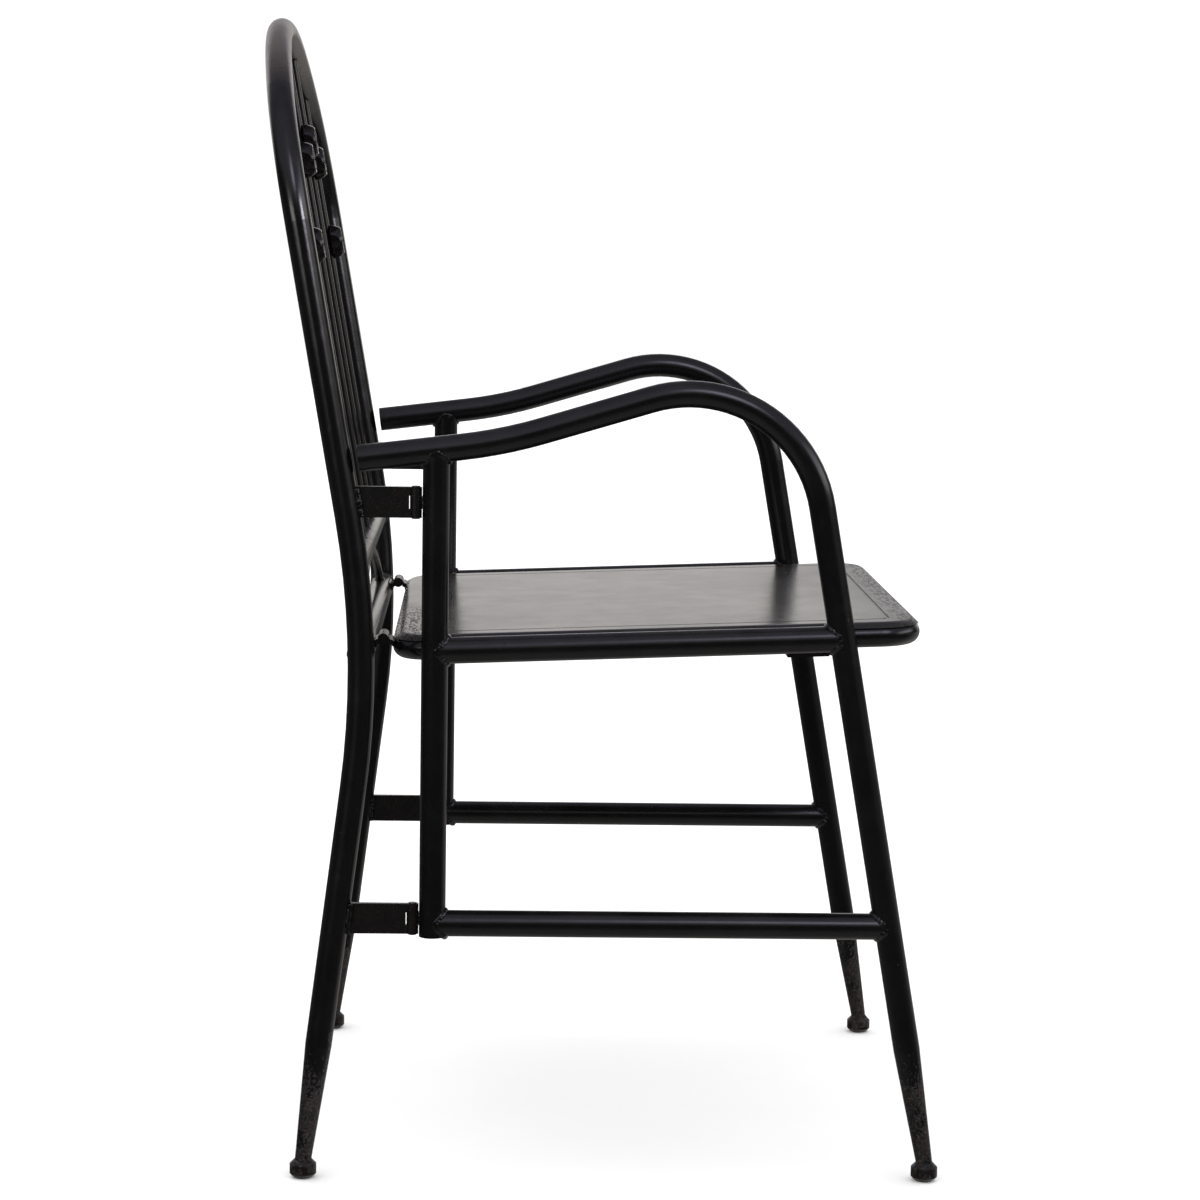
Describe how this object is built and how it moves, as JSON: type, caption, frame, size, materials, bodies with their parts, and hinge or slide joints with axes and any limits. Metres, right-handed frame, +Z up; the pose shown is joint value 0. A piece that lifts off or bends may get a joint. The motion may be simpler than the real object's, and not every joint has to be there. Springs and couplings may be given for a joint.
{
  "type": "folding garden armchair",
  "caption": "Folding garden armchair of black round steel tube: arched back with rods and small cast rosettes, bent arms, hinged side frames and a lift-up sheet seat.",
  "frame": {"origin": "floor under the middle of the overall width and depth", "axes": "+Z up, -Y the way the chair faces, +X to the sitter's left"},
  "size_m": [0.5224, 0.5836, 0.9754],
  "materials": {
    "frame_paint": "near-black satin paint on steel tube",
    "seat_paint": "near-black satin paint on steel sheet",
    "hinge_paint": "near-black satin paint on flat bar",
    "rosette_iron": "painted casting",
    "foot_iron": "worn black paint over brown rust"
  },
  "bodies": {
    "back_frame": {"apron_arch_rod": "frame_paint", "back_hoop_tube": "frame_paint", "back_rod_centre": "frame_paint", "back_rod_inner_left": "frame_paint", "back_rod_inner_right": "frame_paint", "back_rod_outer_left": "frame_paint", "back_rod_outer_right": "frame_paint", "cast_rosette_centre": "rosette_iron", "cast_rosette_inner_left": "rosette_iron", "cast_rosette_inner_right": "rosette_iron", "cast_rosette_outer_left": "rosette_iron", "cast_rosette_outer_right": "rosette_iron", "lower_cross_rail": "frame_paint", "lower_hinge_pin_left": "hinge_paint", "lower_hinge_pin_right": "hinge_paint", "lower_hinge_plate_left": "hinge_paint", "lower_hinge_plate_right": "hinge_paint", "rear_foot_left": "foot_iron", "rear_foot_right": "foot_iron", "seat_hinge_fixed_leaf_left": "hinge_paint", "seat_hinge_fixed_leaf_right": "hinge_paint", "seat_hinge_pin_left": "hinge_paint", "seat_hinge_pin_right": "hinge_paint", "upper_cross_rail": "frame_paint", "upper_hinge_pin_left": "hinge_paint", "upper_hinge_pin_right": "hinge_paint", "upper_hinge_plate_left": "hinge_paint", "upper_hinge_plate_right": "hinge_paint"},
    "side_frame_left": {"arm_leg_tube_left": "frame_paint", "front_foot_left": "foot_iron", "lower_hinge_knuckle_left": "hinge_paint", "lower_stretcher_left": "frame_paint", "rear_upright_left": "frame_paint", "seat_rail_left": "frame_paint", "seat_rest_tab_left": "frame_paint", "upper_hinge_knuckle_left": "hinge_paint"},
    "side_frame_right": {"arm_leg_tube_right": "frame_paint", "front_foot_right": "foot_iron", "lower_hinge_knuckle_right": "hinge_paint", "lower_stretcher_right": "frame_paint", "rear_upright_right": "frame_paint", "seat_rail_right": "frame_paint", "seat_rest_tab_right": "frame_paint", "upper_hinge_knuckle_right": "hinge_paint"},
    "seat": {"seat_hinge_moving_leaf_left": "hinge_paint", "seat_hinge_moving_leaf_right": "hinge_paint", "seat_rim_tube": "frame_paint", "seat_sheet": "seat_paint"}
  },
  "joints": [
    {"name": "seat_lift", "type": "hinge", "parent": "back_frame", "child": "seat", "pos_m": [0, 0.18135, 0.4535], "axis": [-1, 0, 0], "range_deg": [0, 92]},
    {"name": "right_side_swing", "type": "hinge", "parent": "back_frame", "child": "side_frame_right", "pos_m": [-0.25, 0.15425, 0.3966], "axis": [0, 0, -1], "range_deg": [0, 90]},
    {"name": "left_side_swing", "type": "hinge", "parent": "back_frame", "child": "side_frame_left", "pos_m": [0.25, 0.15425, 0.3966], "axis": [0, 0, 1], "range_deg": [0, 90]}
  ]
}
